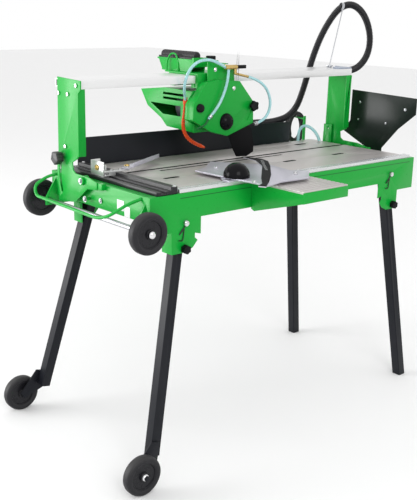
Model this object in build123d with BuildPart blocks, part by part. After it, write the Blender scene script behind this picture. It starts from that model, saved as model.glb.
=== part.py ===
from build123d import *
from math import cos, pi, radians, sin, tan
import os

os.makedirs("parts", exist_ok=True)

# Bench wet saw for tiles: a sheet-metal frame on four folding legs carries two table
# plates over a water tray, and a tilting bridge whose carriage holds the sawing head.
# Dimensions are millimetres, measured from the frame: x from its left end, y from its
# front face, z from its top edge. The model's origin is on the floor under its middle.
LENGTH = 1250
WIDTH = 540
END_DROP = 115
SHEET = 3
HEIGHT = 875
TILT_Y = 325
TABLE_TOP = 8
SLOT = (318, 332)
LEG_TUBE = 35
LEG_PIN_R = 5
HINGE_Y = 34
LEFT_HINGE = (133, -92)
RIGHT_HINGE = (1112, -50)
WHEEL_R = 62.5
WHEEL_WIDTH = 33
SPINDLE = (550, 150)
STUD_REACH = 132
STUD_ANGLE = 26
BEAM_Y = (345, 480)
BEAM_Z = (280, 306)
X0, Y0, Z0 = -649.32, -217.75, HEIGHT


def at(x, y, z):
    """Point of the bench, given in frame measurements."""
    return Vector(X0 + x, Y0 + y, Z0 + z)


def plan(z):
    """Level plane: sketches use x and y, extrusions rise."""
    return Plane(at(0, 0, z))


def front(y):
    """Upright plane facing the user: sketches use x and z, extrusions come forward."""
    return Plane(at(0, y, 0), x_dir=(1, 0, 0), z_dir=(0, -1, 0))


def side(x):
    """Upright plane facing right: sketches use y and z, extrusions go right."""
    return Plane(at(x, 0, 0), x_dir=(0, 1, 0), z_dir=(1, 0, 0))


def bar(x, y, z, mode=Mode.ADD):
    """Square-edged block between the low and high values of x, y and z."""
    with Locations(at(sum(x) / 2, sum(y) / 2, sum(z) / 2)):
        Box(x[1] - x[0], y[1] - y[0], z[1] - z[0], mode=mode)


def rod(start, end, radius, mode=Mode.ADD):
    """Round bar from one bench point to another."""
    run = at(*end) - at(*start)
    with BuildSketch(Plane(at(*start), z_dir=run)) as disc:
        Circle(radius)
    extrude(disc.sketch, amount=run.length, dir=run.normalized(), mode=mode)


def plate(plane, outline, thickness, mode=Mode.ADD):
    """Flat sheet with a straight-sided outline."""
    with BuildSketch(plane) as face:
        Polygon(*outline, align=None)
    extrude(face.sketch, amount=thickness, dir=plane.z_dir, mode=mode)


def tube(points, radius, softness=0.45):
    """Round section along straight runs joined by arcs as large as the runs allow."""
    stops = [at(*p) for p in points]
    radii = []
    for before, here, after in zip(stops, stops[1:], stops[2:]):
        first = here - before
        second = after - here
        turn = radians(first.get_angle(second))
        radii.append(softness * min(first.length, second.length) / tan(turn / 2))
    with BuildLine() as path:
        FilletPolyline(*stops, radius=radii)
    with BuildSketch(Plane(stops[0], z_dir=stops[1] - stops[0])) as section:
        Circle(radius)
    course = path.wires()[0]
    sweep(section.sketch, path=course)
    print("tube radii", [round(r) for r in radii], "length", round(course.length, 1))
    print("   section times length", round(pi * radius**2 * course.length))


def save(piece, name):
    """Label a finished piece and write it."""
    piece.part.label = name
    export_step(piece.part, f"parts/{name}.step")
    print(name, len(piece.part.solids()), round(piece.part.volume))


def knob(centre, outward, radius, height, lobes, stem_radius, stem):
    """Lobed hand knob, its stem running inward from the face that it clamps."""
    base = Plane(at(*centre), z_dir=outward)
    with BuildSketch(base) as grip_face:
        Circle(radius * 0.86)
        with PolarLocations(radius * 0.72, lobes):
            Circle(radius * 0.28)
    extrude(grip_face.sketch, amount=height, dir=base.z_dir)
    with BuildSketch(base) as shank:
        Circle(stem_radius)
    extrude(shank.sketch, amount=stem, dir=-base.z_dir)


# Long sides of the frame: folded sheet with a leg bracket near each end
LEFT_BRACKET = [(82, -115), (82, -184), (140, -184), (165, -172), (183, -152), (172, -142)]
LEFT_BRACKET += [(172, -128), (195, -134), (195, -80)]
RIGHT_BRACKET = [(1243 - x, z) for x, z in reversed(LEFT_BRACKET)]
SIDE_OUTLINE = [(0, 0), (0, -END_DROP)] + LEFT_BRACKET + RIGHT_BRACKET
SIDE_OUTLINE += [(LENGTH, -END_DROP), (LENGTH, 0)]
with BuildPart() as frame_sides:
    for inner, flange, web in ((3, (0, 22), (2, 48)), (540, (518, 540), (492, 538))):
        plate(front(inner), SIDE_OUTLINE, SHEET)
        bar((SHEET, LENGTH - SHEET), flange, (-SHEET, 0))
        bar((82, 86), web, (-184, -100))
        bar((1157, 1161), web, (-184, -100))
    for y in (0, 537):
        for x, z in (LEFT_HINGE, RIGHT_HINGE):
            rod((x, y - 1, z), (x, y + 4, z), LEG_PIN_R + 1, mode=Mode.SUBTRACT)
        for x, z in ((129, -171), (1134, -167)):
            rod((x, y - 1, z), (x, y + 4, z), 4.05, mode=Mode.SUBTRACT)
    rod((1215, 539, 88), (1215, 612, 92), 3)
    rod((1215, 611, 90), (1215, 611, 110), 3)
    bar((1208, 1222), (537, 541), (-40, 100))
save(frame_sides, "frame_sides")

# Ends of the frame, with the lugs that carry the upper wheel axle on the left one
with BuildPart() as frame_ends:
    bar((0, SHEET), (SHEET, WIDTH - SHEET), (-78, 0))
    bar((0, 30), (22, 518), (-SHEET, 0))
    bar((LENGTH - SHEET, LENGTH), (SHEET, WIDTH - SHEET), (-78, 0))
    bar((LENGTH - 30, LENGTH), (22, 518), (-SHEET, 0))
    for y in (20, 514):
        lug = [(0, -20), (3, -110), (-40, -110), (-40, -84)]
        plate(front(y + 6), lug, 6)
    for y in (16, 510):
        rod((-28, y, -94), (-28, y + 20, -94), 8, mode=Mode.SUBTRACT)
    for x in ((-1, 4), (LENGTH - 4, LENGTH + 1)):
        rod((x[0], TILT_Y, 0), (x[1], TILT_Y, 0), 8, mode=Mode.SUBTRACT)
save(frame_ends, "frame_ends")

# Black water tray with its tall back wall
with BuildPart() as water_tray:
    bar((6, 1244), (60, 480), (-72, -4.5))
    bar((8, 1242), (62, 478), (-70, 0), mode=Mode.SUBTRACT)
    bar((96, 1120), (530, 533), (0, 74))
    plate(front(533), [(96, 70), (1120, 70), (1120, 84), (560, 96), (96, 100)], 3)
    bar((96, 1120), (478, 517.5), (-9, -6))
    bar((96, 1120), (514.5, 517.5), (-9, 3))
    bar((96, 1120), (514.5, 533), (0, 3))
save(water_tray, "water_tray")

# Two table plates, one each side of the slot that the blade runs in
with BuildPart() as table_plates:
    bar((112, 1219), (32, SLOT[0]), (-4, TABLE_TOP))
    bar((112, 1219), (SLOT[1], 500), (-4, TABLE_TOP))
    bar((262, 835), (286, 298), (3, 9), mode=Mode.SUBTRACT)
    with BuildSketch(plan(-5)) as finger_slots:
        with Locations((220, 178), (760, 180), (1024, 184), (1078, 429)):
            SlotOverall(62, 18)
    extrude(finger_slots.sketch, amount=20, dir=(0, 0, 1), mode=Mode.SUBTRACT)
save(table_plates, "table_plates")

# Grooved aluminium rail on the front edge
with BuildPart() as front_rail:
    bar((112, 1225), (3, 30), (0, 12))
    bar((111, 1226), (12, 20), (5, 13), mode=Mode.SUBTRACT)
save(front_rail, "front_rail")

# Black side rail on the left end, with the groove that its stop slides in
with BuildPart() as side_rail:
    bar((30, 108), (4, 512), (0, 12))
    bar((84, 108), (4, 512), (0, 22))
    bar((48, 66), (3, 513), (4, 13), mode=Mode.SUBTRACT)
    fillet(side_rail.edges().filter_by(Axis.Z), 6)
save(side_rail, "side_rail")

# Bent rod on the left end for pulling the folded saw along
with BuildPart() as tow_handle:
    grab = [(0, 500, -6), (-34, 514, -14), (-74, 526, -40), (-78, 512, -72)]
    grab += [(-78, 330, -74), (-78, 160, -78), (-70, 112, -66), (-36, 60, -24), (0, 40, -8)]
    tube(grab, 5)
save(tow_handle, "tow_handle")

# Axle of the two upper wheels
with BuildPart() as upper_axle:
    rod((-28, -49, -94), (-28, 589, -94), 8)
save(upper_axle, "upper_axle")


def stud_y(reach=STUD_REACH):
    return TILT_Y + reach * cos(radians(STUD_ANGLE))


STUD_Z = STUD_REACH * sin(radians(STUD_ANGLE))

# Fixed ears behind the tilt plates, with the tilt stops and the pivot pins
with BuildPart() as clamp_ears:
    for inner, outer, direction in ((0, -10, -1), (LENGTH, LENGTH + 10, 1)):
        low, high = sorted((inner, outer))
        bar((low, high), (424, 466), (-60, -6))
        tip = sorted((outer, outer - direction * 4))
        bar(tip, (424, 466), (-7, 74))
        hole = (outer - direction * 5, outer + direction)
        rod((hole[0], stud_y(), STUD_Z), (hole[1], stud_y(), STUD_Z), 4.05, mode=Mode.SUBTRACT)
        block = sorted((inner, inner + direction * 16))
        bar(block, (222, 243), (-14, 6))
        rod((inner, 313, -56), (inner + direction * 22, 313, -56), 5)
        rod((inner - direction * 3, TILT_Y, 0), (inner + direction * 26, TILT_Y, 0), 8)
        rod((inner, TILT_Y, 0), (inner + direction * 13.7, TILT_Y, 0), 16)
        rod((inner + direction * 18.3, TILT_Y, 0), (inner + direction * 26, TILT_Y, 0), 13)
save(clamp_ears, "clamp_ears")


def leg_frame(hinge, foot):
    """Plane at a leg's hinge, its normal down the leg and its x along the hinge pin."""
    down = at(*foot) - at(*hinge)
    pin = Vector(1, 0, 0).cross(down).normalized()
    return Plane(at(*hinge), x_dir=pin, z_dir=down), pin, down


LEFT_FOOT_X = -30
LEFT_FOOT_Z = -785
AXLE_X = -98
AXLE_Z = WHEEL_R - HEIGHT
SPLAY_LEFT = 86
RIGHT_FOOT = (1240, -HEIGHT)
SPLAY_RIGHT = 56
REAR_HINGE_Y = WIDTH - HINGE_Y
LEGS = {
    "front_left": ((LEFT_HINGE[0], HINGE_Y, LEFT_HINGE[1]),
                   (LEFT_FOOT_X, HINGE_Y - SPLAY_LEFT, LEFT_FOOT_Z)),
    "rear_left": ((LEFT_HINGE[0], REAR_HINGE_Y, LEFT_HINGE[1]),
                  (LEFT_FOOT_X, REAR_HINGE_Y + SPLAY_LEFT, LEFT_FOOT_Z)),
    "front_right": ((RIGHT_HINGE[0], HINGE_Y, RIGHT_HINGE[1]),
                    (RIGHT_FOOT[0], HINGE_Y - SPLAY_RIGHT, RIGHT_FOOT[1])),
    "rear_right": ((RIGHT_HINGE[0], REAR_HINGE_Y, RIGHT_HINGE[1]),
                   (RIGHT_FOOT[0], REAR_HINGE_Y + SPLAY_RIGHT, RIGHT_FOOT[1])),
}

# Hinge pins of the legs, held by the frame's sides
with BuildPart() as leg_pins:
    for name, (hinge, foot) in LEGS.items():
        pin = leg_frame(hinge, foot)[1]
        away = -1 if "front" in name else 1
        centre = at(*hinge)
        with BuildSketch(Plane(centre - pin * away * 24, z_dir=pin * away)) as shank:
            Circle(LEG_PIN_R)
        extrude(shank.sketch, amount=64, dir=pin * away)
        head = at(hinge[0], hinge[1] + away * (HINGE_Y + 0.5), hinge[2])
        with BuildSketch(Plane(head, z_dir=(0, away, 0))) as cap:
            RegularPolygon(9, 6)
        extrude(cap.sketch, amount=7, dir=(0, away, 0))
save(leg_pins, "leg_pins")

# Four legs of square tube; the left pair ends in an arm with the axle of a wheel
for name, (hinge, foot) in LEGS.items():
    plane, pin, down = leg_frame(hinge, foot)
    away = -1 if "front" in name else 1
    left = "left" in name
    with BuildPart() as leg:
        with BuildSketch(plane.offset(-26)) as section:
            Rectangle(LEG_TUBE, LEG_TUBE)
            fillet(section.vertices(), 3)
            offset(amount=-2, mode=Mode.SUBTRACT)
        extrude(section.sketch, amount=down.length + 26 + (0 if left else 30), dir=down.normalized())
        with BuildSketch(Plane(at(*hinge) - pin * 40, z_dir=pin)) as bore:
            Circle(LEG_PIN_R + 0.05)
        extrude(bore.sketch, amount=80, dir=pin, mode=Mode.SUBTRACT)
        if left:
            near = foot[1] + away * (LEG_TUBE / 2 - 1)
            arm = [(foot[0] + 16, foot[2] + 46), (foot[0] - 16, foot[2] + 54)]
            arm += [(AXLE_X - 14, AXLE_Z + 8), (AXLE_X, AXLE_Z - 15), (foot[0] + 4, foot[2] - 18)]
            step = 0 if away < 0 else 5
            plate(front(near + step), arm, 5)
            rod((AXLE_X, near, AXLE_Z), (AXLE_X, near + away * 52, AXLE_Z), 8)
        if not left:
            bar((RIGHT_FOOT[0] - 60, RIGHT_FOOT[0] + 60), (foot[1] - 60, foot[1] + 60),
                (-HEIGHT - 60, -HEIGHT), mode=Mode.SUBTRACT)
    save(leg, f"leg_{name}")

# Wheels: a rubber tyre on a hub with a bore; the four are alike
WHEELS = {
    "upper_front": (-28, -29, -94),
    "upper_rear": (-28, 569, -94),
    "lower_front": (AXLE_X, HINGE_Y - SPLAY_LEFT - 42, AXLE_Z),
    "lower_rear": (AXLE_X, REAR_HINGE_Y + SPLAY_LEFT + 42, AXLE_Z),
}
for name, (x, y, z) in WHEELS.items():
    rim = WHEEL_R - 18
    with BuildPart() as tyre:
        with BuildSketch(front(y + WHEEL_WIDTH / 2)) as tread:
            with Locations((x, z)):
                Circle(WHEEL_R)
                Circle(rim, mode=Mode.SUBTRACT)
        extrude(tread.sketch, amount=WHEEL_WIDTH, dir=(0, -1, 0))
        fillet(tyre.edges().filter_by(GeomType.CIRCLE).sort_by(SortBy.RADIUS)[-2:], 8)
    save(tyre, f"tyre_{name}")
    with BuildPart() as hub:
        with BuildSketch(front(y + WHEEL_WIDTH / 2 - 3)) as disc:
            with Locations((x, z)):
                Circle(rim)
        extrude(disc.sketch, amount=WHEEL_WIDTH - 6, dir=(0, -1, 0))
        with BuildSketch(front(y + WHEEL_WIDTH / 2)) as boss:
            with Locations((x, z)):
                Circle(15)
        extrude(boss.sketch, amount=WHEEL_WIDTH, dir=(0, -1, 0))
        with BuildSketch(front(y + WHEEL_WIDTH / 2 + 1)) as bore:
            with Locations((x, z)):
                Circle(8.05)
        extrude(bore.sketch, amount=WHEEL_WIDTH + 2, dir=(0, -1, 0), mode=Mode.SUBTRACT)
    save(hub, f"hub_{name}")

# Knobs that lock the legs
for name, x, z in (("left", 129, -171), ("right", 1134, -167)):
    with BuildPart() as leg_knob:
        knob((x, -0.3, z), (0, -1, 0), 14, 20, 6, 4, 4)
    save(leg_knob, f"leg_knob_front_{name}")
    with BuildPart() as leg_knob:
        knob((x, WIDTH + 0.3, z), (0, 1, 0), 14, 20, 6, 4, 4)
    save(leg_knob, f"leg_knob_rear_{name}")

# Uprights of the bridge: a web with a folded front edge, ending in the slotted tilt plate
with BuildPart() as uprights:
    for outer, direction, top in ((-18, 1, 312), (LENGTH + 14, -1, 279.5)):
        inside = outer if direction > 0 else outer + 4
        web = [(461, top), (328, top - 4), (329, 279), (342, 268), (352, 66), (384, 50), (380, 26)]
        web += [(366, 17), (288, 15), (246, 6), (246, -16), (300, -22), (372, -76), (468, -88)]
        web += [(476, -20), (474, 40), (465, 66)]
        if top < 300:
            web = [(461, 279.5), (342, 279.5)] + web[4:]
        plate(side(outer), web, 4)
        edge = sorted((inside + direction * 4, inside + direction * 28))
        bar(edge, (345, 349), (72, 279.5))
        bar(sorted((inside, inside + direction * 28)), (345, 352), (72, 84))
        bar(sorted((inside, inside + direction * 28)), (345, 461), (275.5, 279.8))
        bar(sorted((inside, inside + direction * 6)), (344, 354), (72, 279.5))
        rod((outer - 1, TILT_Y, 0), (outer + 5, TILT_Y, 0), 8.05, mode=Mode.SUBTRACT)
        with BuildSketch(side(outer - 1)) as slot:
            with BuildLine():
                CenterArc((TILT_Y, 0), STUD_REACH, STUD_ANGLE - 48, 51)
                offset(amount=6, side=Side.BOTH)
            make_face()
        extrude(slot.sketch, amount=6, dir=(1, 0, 0), mode=Mode.SUBTRACT)
save(uprights, "uprights")

# Hollow aluminium beam that the carriage runs on
with BuildPart() as beam:
    bar((-13.9, 1268), BEAM_Y, BEAM_Z)
    bar((-14.5, 1269), (349, 476), (284, 302), mode=Mode.SUBTRACT)
    bar((-13.9, 1268), (410, 414), (283, 303))
save(beam, "beam")

# Half-round cap that clamps the conduit at the beam's right end
with BuildPart() as beam_cap:
    with BuildSketch(plan(306)) as lid:
        with BuildLine():
            Line((1200, 348), (1268, 348))
            ThreePointArc((1268, 348), (1234, 404), (1200, 348))
        make_face()
    extrude(lid.sketch, amount=5, dir=(0, 0, 1))
    bar((1268.1, 1276), (378, 436), (268, 311))
    bar((1250, 1272), (378, 402), (306, 311))
    rod((1276, 404, 292), (1290, 404, 292), 17)
save(beam_cap, "beam_cap")

# Bolts through the uprights
with BuildPart() as bridge_bolts:
    for face, direction, spots in (
        (-18, -1, ((399, 262), (452, 262), (350, 292), (420, 96))),
        (LENGTH + 18, 1, ((400, 250), (448, 220), (408, 104), (416, 84))),
    ):
        for y, z in spots:
            with BuildSketch(Plane(at(face, y, z), z_dir=(direction, 0, 0))) as head:
                RegularPolygon(7, 6)
            extrude(head.sketch, amount=5, dir=(direction, 0, 0))
save(bridge_bolts, "bridge_bolts")

# Springy rod that holds up the conduit's loop
with BuildPart() as whip_rod:
    rod((1222, 424, 306), (1222, 424, 316), 9)
    bar((1206, 1238), (420, 428), (311, 315))
    rod((1222, 424, 314), (1284, 426, 534), 2)
save(whip_rod, "whip_rod")

# Corrugated conduit from the back of the tray to the beam's end
CONDUIT = [(1290.1, 404, 292), (1345, 404, 292), (1400, 403, 318), (1438, 405, 362), (1448, 408, 420)]
CONDUIT += [(1430, 412, 480), (1390, 417, 530), (1335, 426, 556), (1284, 442, 540), (1256, 466, 490)]
CONDUIT += [(1236, 492, 425), (1222, 514, 350), (1214, 532, 275), (1202, 546, 200), (1180, 554, 138)]
CONDUIT += [(1136, 559, 100), (1078, 561, 88), (1016, 560, 84), (950, 562, 88), (884, 560, 84)]
CONDUIT += [(830, 561, 80), (794, 561, 56), (784, 562, 20)]
with BuildPart() as conduit:
    tube(CONDUIT, 14)
save(conduit, "conduit")

# Carriage: a saddle around the beam with the hand grip's bracket welded on top
with BuildPart() as saddle:
    bar((452, 612), (334, 490), (308, 313))
    bar((452, 612), (334, 339), (264, 309))
    bar((452, 612), (485, 490), (264, 309))
    bar((452, 612), (334, 366), (264, 268))
    bar((452, 612), (458, 490), (264, 268))
    bar((452, 462), (339.5, 344.7), (268, 308))
    bar((602, 612), (339.5, 344.7), (268, 308))
    bar((452, 462), (480.3, 486), (268, 308))
    bar((602, 612), (480.3, 486), (268, 308))
    bar((452, 462), (350, 475), (306.3, 309))
    bar((602, 612), (350, 475), (306.3, 309))
    bar((452, 462), (350, 366), (267, 279.7))
    bar((602, 612), (350, 366), (267, 279.7))
    bar((452, 462), (458, 475), (267, 279.7))
    bar((602, 612), (458, 475), (267, 279.7))
    handle_side = [(400, 312), (560, 312), (585, 356), (392, 356)]
    plate(side(478), handle_side, 4)
    plate(side(536), handle_side, 4)
    bar((478, 540), (386, 396), (330, 362))
    bar((478, 540), (560, 564), (313, 350.9))
    bar((478, 484), (396, 590), (350, 356))
    bar((534, 540), (396, 590), (350, 356))
    hook = [(466, 520, 312), (468, 522, 345), (474, 508, 372)]
    hook += [(480, 488, 372), (478, 470, 345), (474, 466, 312)]
    tube(hook, 3)
    bar((538, 590), (384, 416), (346, 352))
    rod((569, 400, 340), (569, 400, 353), 4.05, mode=Mode.SUBTRACT)
    bar((561, 577), (318, 390), (343, 346))
    bar((462, 478), (462, 526), (308, 313))
save(saddle, "saddle")

# Hand grip, along the beam's depth
with BuildPart() as grip:
    rod((509, 402, 366), (509, 592, 366), 15)
    fillet(grip.edges().filter_by(GeomType.CIRCLE), 5)
    bar((484.1, 533.9), (404, 590), (352, 362))
save(grip, "grip")

# Front of the blade guard: folded sheet around the upper half of the blade
GUARD = [(407, 162), (410, 213), (466, 286), (516, 294), (618, 285)]
GUARD += [(686, 211), (688, 136), (565, 98), (486, 119)]
GUARD_LOW = [(407, 162), (410, 213), (444, 256), (648, 256), (686, 211), (688, 136), (565, 98), (486, 119)]
with BuildPart() as guard_front:
    with BuildSketch(front(333)) as outer_shape:
        Polygon(*GUARD, align=None)
    extrude(outer_shape.sketch, amount=33, dir=(0, -1, 0))
    with BuildSketch(front(334)) as hollow:
        Polygon(*GUARD, align=None)
        offset(amount=-3, kind=Kind.INTERSECTION, mode=Mode.REPLACE)
    extrude(hollow.sketch, amount=31, dir=(0, -1, 0), mode=Mode.SUBTRACT)
    bar((420, 680), (314, 334), (90, 158), mode=Mode.SUBTRACT)
    with BuildSketch(front(304)) as window:
        with Locations((663, 174)):
            SlotOverall(62, 22, rotation=62)
    extrude(window.sketch, amount=5, dir=(0, -1, 0), mode=Mode.SUBTRACT)
    plate(front(306), [(628, 140), (652, 130), (684, 176), (676, 208), (652, 214), (630, 176)], 3)
    plate(front(316), [(479, 353), (598, 337), (602, 284), (480, 288)], 4)
save(guard_front, "guard_front")

# Rear of the blade guard, which the motor bolts to
with BuildPart() as guard_rear:
    with BuildSketch(front(345)) as back_shape:
        Polygon(*GUARD_LOW, align=None)
        with Locations(SPINDLE):
            Circle(24, mode=Mode.SUBTRACT)
    extrude(back_shape.sketch, amount=3, dir=(0, -1, 0))
    with BuildSketch(front(342)) as wall:
        Polygon(*GUARD_LOW, align=None)
        offset(amount=-3, kind=Kind.INTERSECTION, mode=Mode.SUBTRACT)
    extrude(wall.sketch, amount=9, dir=(0, -1, 0))
    bar((430, 676), (332, 342), (90, 156), mode=Mode.SUBTRACT)
    bar((420, 680), (332, 343), (236, 260), mode=Mode.SUBTRACT)
save(guard_rear, "guard_rear")

# Housing around the motor, louvred at its left
HOUSING = [(346, 112), (498, 118), (530, 144), (612, 182), (652, 238), (515, 254), (346, 252)]
with BuildPart() as motor_housing:
    with BuildSketch(side(450)) as shell:
        Polygon(*HOUSING, align=None)
    extrude(shell.sketch, amount=190, dir=(1, 0, 0))
    with BuildSketch(side(453)) as room:
        Polygon(*HOUSING, align=None)
        offset(amount=-3, kind=Kind.INTERSECTION, mode=Mode.REPLACE)
    extrude(room.sketch, amount=184, dir=(1, 0, 0), mode=Mode.SUBTRACT)
    rod((SPINDLE[0], 344, SPINDLE[1]), (SPINDLE[0], 352, SPINDLE[1]), 24, mode=Mode.SUBTRACT)
    for z in (214, 230):
        bar((448, 455), (400, 520), (z, z + 8), mode=Mode.SUBTRACT)
    plate(side(448), [(420, 160), (520, 160), (596, 196), (420, 196)], 7, mode=Mode.SUBTRACT)
    bar((470, 620), (392, 404), (245, 258), mode=Mode.SUBTRACT)
    bar((470, 620), (420, 432), (245, 258), mode=Mode.SUBTRACT)
    bar((470, 620), (448, 460), (245, 258), mode=Mode.SUBTRACT)
save(motor_housing, "motor_housing")

# Motor inside the housing
with BuildPart() as motor:
    rod((548, 384, 186), (548, 500, 186), 57)
    rod((548, 376, 186), (548, 384, 186), 40)
    bar((500, 600), (380, 500), (124, 186))
    rod((SPINDLE[0], 376, SPINDLE[1]), (SPINDLE[0], 392, SPINDLE[1]), 10.05, mode=Mode.SUBTRACT)
    bar((520, 576), (349, 380), (236, 249))
    bar((520, 576), (370, 384), (220, 249))
save(motor, "motor")

# Spindle with the flanges and the nut that grip a disc
with BuildPart() as blade_hub:
    sx, sz = SPINDLE
    rod((sx, 312, sz), (sx, 390, sz), 10)
    rod((sx, TILT_Y - 2, sz), (sx, TILT_Y + 2, sz), 12.7)
    rod((sx, TILT_Y - 7.1, sz), (sx, TILT_Y - 1.1, sz), 34)
    rod((sx, TILT_Y + 1.1, sz), (sx, TILT_Y + 9, sz), 34)
    with BuildSketch(front(TILT_Y - 7.1)) as nut:
        with Locations(SPINDLE):
            RegularPolygon(16, 6)
    extrude(nut.sketch, amount=8, dir=(0, -1, 0))
save(blade_hub, "blade_hub")

# Brass water valve and its hose tails on the guard's top right corner
with BuildPart() as water_valve:
    rod((540, 292, 335), (592, 292, 335), 8)
    rod((586, 292, 335), (586, 292, 312), 6)
    rod((584, 292, 313.4), (648, 292, 300), 4.5)
    rod((548, 292, 335), (548, 283.5, 329), 4)
    bar((560, 576), (294, 312), (326, 338))
save(water_valve, "water_valve")

with BuildPart() as valve_lever:
    rod((592.3, 292, 335), (600, 292, 335), 5)
    bar((598, 634), (287, 297), (329, 341))
save(valve_lever, "valve_lever")

# Water hoses of the head, each pushed over fittings at both ends
HOSE_LEFT = [(540, 292, 335), (508, 288, 350), (464, 288, 364), (420, 296, 358), (394, 310, 328)]
HOSE_LEFT += [(388, 322, 290), (396, 336, 258), (414, 352, 240), (424, 362, 220)]
HOSE_DOWN = [(548, 283, 328), (545, 282, 292), (532, 284, 252), (512, 283, 216)]
HOSE_DOWN += [(486, 288, 182), (470, 294, 164)]
HOSE_RIGHT = [(648, 292, 300), (694, 291, 288), (740, 291, 258), (764, 291, 212), (758, 292, 168)]
HOSE_RIGHT += [(728, 293, 140), (692, 294, 132)]
with BuildPart() as water_hoses:
    for route in (HOSE_LEFT, HOSE_DOWN, HOSE_RIGHT):
        tube(route, 5)
save(water_hoses, "water_hoses")

# Jointed coolant hose beside the guard
with BuildPart() as spray_hose:
    spray = [(424, 362, 219.8), (426, 366, 190), (421, 368, 156), (422, 370, 124), (440, 371, 94)]
    spray += [(470, 370, 72), (500, 369, 60)]
    tube(spray, 7)
save(spray_hose, "spray_hose")

# Rubber flap behind the blade
FLAP = [(577, 104), (640, 124), (668, 130), (708, 118), (718, 107), (731, 50), (730, 23), (697, 9)]
FLAP += [(647, 12), (631, 37), (610, 84)]
with BuildPart() as splash_flap:
    with BuildSketch(front(342)) as rubber:
        Polygon(*FLAP, align=None)
    extrude(rubber.sketch, amount=4, dir=(0, -1, 0))
save(splash_flap, "splash_flap")

# Knob that sets the cutting depth, and the tilt clamp's knob
with BuildPart() as depth_knob:
    knob((569, 400, 352.3), (0, 0, 1), 18, 15, 5, 4, 10)
save(depth_knob, "depth_knob")

with BuildPart() as tilt_knob:
    knob((-24, stud_y(), STUD_Z), (-1, 0, 0), 22, 24, 5, 4, 18)
save(tilt_knob, "tilt_knob")

# Extension table hooked over the front edge
with BuildPart() as extension_frame:
    gusset = [(-0.3, 0), (-0.3, -84), (-14, -90), (-222, -30), (-222, 0)]
    plate(side(403), gusset, 3)
    plate(side(603), gusset, 3)
    bar((403, 606), (-225, -222), (-30, 4))
    bar((403, 606), (-6, -0.3), (-40, 4))
    bar((403, 606), (-6, 2.7), (0.3, 4))
save(extension_frame, "extension_frame")

with BuildPart() as extension_top:
    bar((403, 606), (-221.9, -6.1), (0, 8))
    for y in range(-212, -14, 18):
        bar((402, 607), (y, y + 5), (6, 9), mode=Mode.SUBTRACT)
save(extension_top, "extension_top")

# Angle guide on the front rail: slider, swinging fence and the knob that locks it
GUIDE = (352, 16.5)
with BuildPart() as guide_base:
    plate(plan(12.3), [(306, 2), (398, 2), (398, 30), (380, 60), (324, 60), (306, 30)], 4)
    bar((320, 384), (13, 19), (6, 13))
    rod((GUIDE[0], GUIDE[1], 12.3), (GUIDE[0], GUIDE[1], 30), 6)
save(guide_base, "guide_base")

FENCE = [(315, 175), (383, 204), (465, 273), (593, 106), (576, -4), (626, -38), (536, -121)]
FENCE += [(417, -115), (341, -136), (327, 5)]
DIAL = [(610, 262), (636, 196), (622, 150), (565, 82), (455, -33), (368, -112), (312, -157)]
DIAL += [(300, -135), (333, -118), (395, -50), (545, 100), (600, 190)]
with BuildPart() as guide_fence:
    plate(plan(16.6), FENCE, 5)
    plate(plan(21), DIAL, 3.6)
    rod((GUIDE[0], GUIDE[1], 16), (GUIDE[0], GUIDE[1], 25), 6.05, mode=Mode.SUBTRACT)
save(guide_fence, "guide_fence")

with BuildPart() as guide_knob:
    rod((GUIDE[0], GUIDE[1], 22), (GUIDE[0], GUIDE[1], 68), 42)
    fillet(guide_knob.edges().filter_by(GeomType.CIRCLE).sort_by(Axis.Z)[-1:], 28)
    rod((GUIDE[0], GUIDE[1], 21), (GUIDE[0], GUIDE[1], 31), 6.05, mode=Mode.SUBTRACT)
save(guide_knob, "guide_knob")

# Side stop: a bracket that slides on the side rail and an arm over the table
with BuildPart() as stop_bracket:
    bar((36, 83.6), (290, 360), (12.3, 16))
    bar((50, 64), (298, 352), (5, 13))
    bar((36, 40), (290, 360), (13, 58))
    bar((36, 70), (356, 360), (13, 58))
    bar((70, 74), (328, 360), (13, 40))
    bar((36, 140), (290, 310), (22.3, 27))
    bar((60, 83.6), (290, 310), (15, 27))
    rod((134, 300, 22.3), (134, 300, 36), 6)
    rod((40, 323, 36), (52, 323, 36), 8)
save(stop_bracket, "stop_bracket")

STOP = Plane(at(134, 300, 27.3), x_dir=(0.87, 0.49, 0), z_dir=(0, 0, 1))
with BuildPart() as stop_arm:
    with BuildSketch(STOP) as strip:
        with Locations((110, 0)):
            Rectangle(250, 26)
        Circle(6.2, mode=Mode.SUBTRACT)
    extrude(strip.sketch, amount=5, dir=(0, 0, 1))
    with BuildSketch(STOP.offset(4)) as rib:
        with Locations((130, -12)):
            Rectangle(208, 2)
    extrude(rib.sketch, amount=10, dir=(0, 0, 1))
save(stop_arm, "stop_arm")

# Splash guard at the right end, on its own bracket
with BuildPart() as splash_guard:
    spread = [(362, 221), (45, 212), (45, 151), (123, 87), (196, 4), (196, -40), (236, -40)]
    spread += [(262, -8), (396, 52), (364, 97)]
    plate(side(1300), spread, 3)
    bar((LENGTH, 1301), (196, 218), (-40, -37))
    bar((LENGTH, LENGTH + 3), (196, 218), (-70, -37))
save(splash_guard, "splash_guard")

# Short hose that brings water to the head's conduit
with BuildPart() as inlet_hose:
    rise = [(1150, 509, -3), (1150, 510, 34), (1160, 506, 62), (1176, 490, 70)]
    rise += [(1188, 460, 54), (1194, 438, 28), (1195, 432, 11)]
    tube(rise, 6)
save(inlet_hose, "inlet_hose")

# Mains lead: gland on the back, lead, coil on its hook and plug
with BuildPart() as mains_gland:
    rod((1060, 540, -40), (1060, 558, -40), 11)
save(mains_gland, "mains_gland")

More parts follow.
